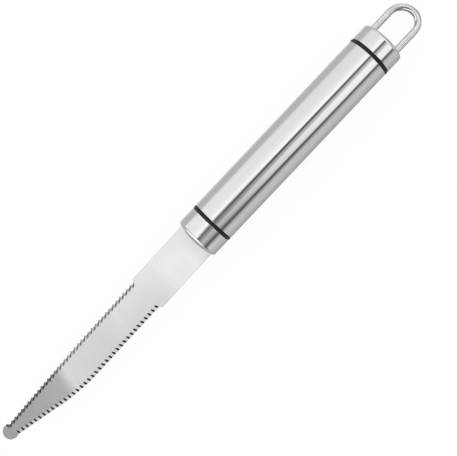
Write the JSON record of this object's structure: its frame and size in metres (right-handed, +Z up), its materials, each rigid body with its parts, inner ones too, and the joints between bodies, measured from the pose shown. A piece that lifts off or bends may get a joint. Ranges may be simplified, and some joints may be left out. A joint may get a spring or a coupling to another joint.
{
  "type": "grapefruit knife",
  "caption": "Grapefruit knife with a slim blade toothed on both edges, a rounded tip, a round steel tube handle and a wire hanging loop.",
  "frame": {"origin": "on the table, under the middle of the knife's length and width as it lies", "axes": "+X along the handle to the blade's tip, +Z up, square to the flat of the blade"},
  "size_m": [0.2304, 0.0186, 0.0186],
  "materials": {
    "blade_steel": "ground and polished stainless sheet",
    "handle_steel": "polished stainless tube with faint lines round it",
    "wire_steel": "bright drawn stainless wire",
    "ring_rubber": "smooth black rubber",
    "core_plastic": "moulded core, not visible"
  },
  "bodies": {
    "root": {"blade": "blade_steel", "front_cap": "handle_steel", "front_ring": "ring_rubber", "front_plug": "core_plastic", "handle_tube": "handle_steel", "rear_plug": "core_plastic", "rear_ring": "ring_rubber", "rear_cap": "handle_steel", "hanging_loop": "wire_steel"}
  },
  "joints": []
}
